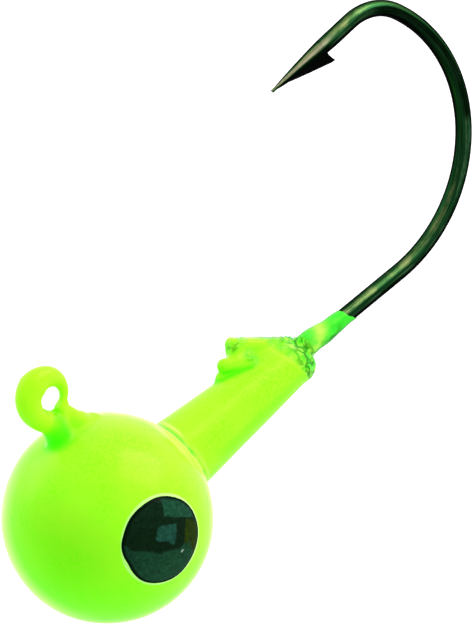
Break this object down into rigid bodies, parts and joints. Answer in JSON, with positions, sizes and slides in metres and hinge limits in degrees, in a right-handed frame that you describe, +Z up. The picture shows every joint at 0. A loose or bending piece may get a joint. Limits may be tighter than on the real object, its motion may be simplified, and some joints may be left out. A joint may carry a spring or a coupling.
{
  "type": "jig head",
  "caption": "Round painted lead jig head cast on a right-angle wire hook, with a line eye, a tapered barbed collar and painted eye spots.",
  "frame": {"origin": "centre of the line eye's hole, on the plane the hook lies in", "axes": "+X runs back along the shank towards the hook's bend, +Z is up from the ball through the line eye, +Y is the axis of the line eye's hole; the hook point is on the +Z side"},
  "size_m": [0.027, 0.0086, 0.0153],
  "materials": {
    "bronze_wire": "bronzed, satin",
    "lead": "dull as cast",
    "white_paint": "matt undercoat",
    "chartreuse_paint": "gloss",
    "black_enamel": "high gloss"
  },
  "bodies": {
    "root": {"hook": "bronze_wire", "lead_head": "lead", "white_undercoat": "white_paint", "colour_coat": "chartreuse_paint", "eye_spot_left": "black_enamel", "eye_spot_right": "black_enamel"}
  },
  "joints": []
}
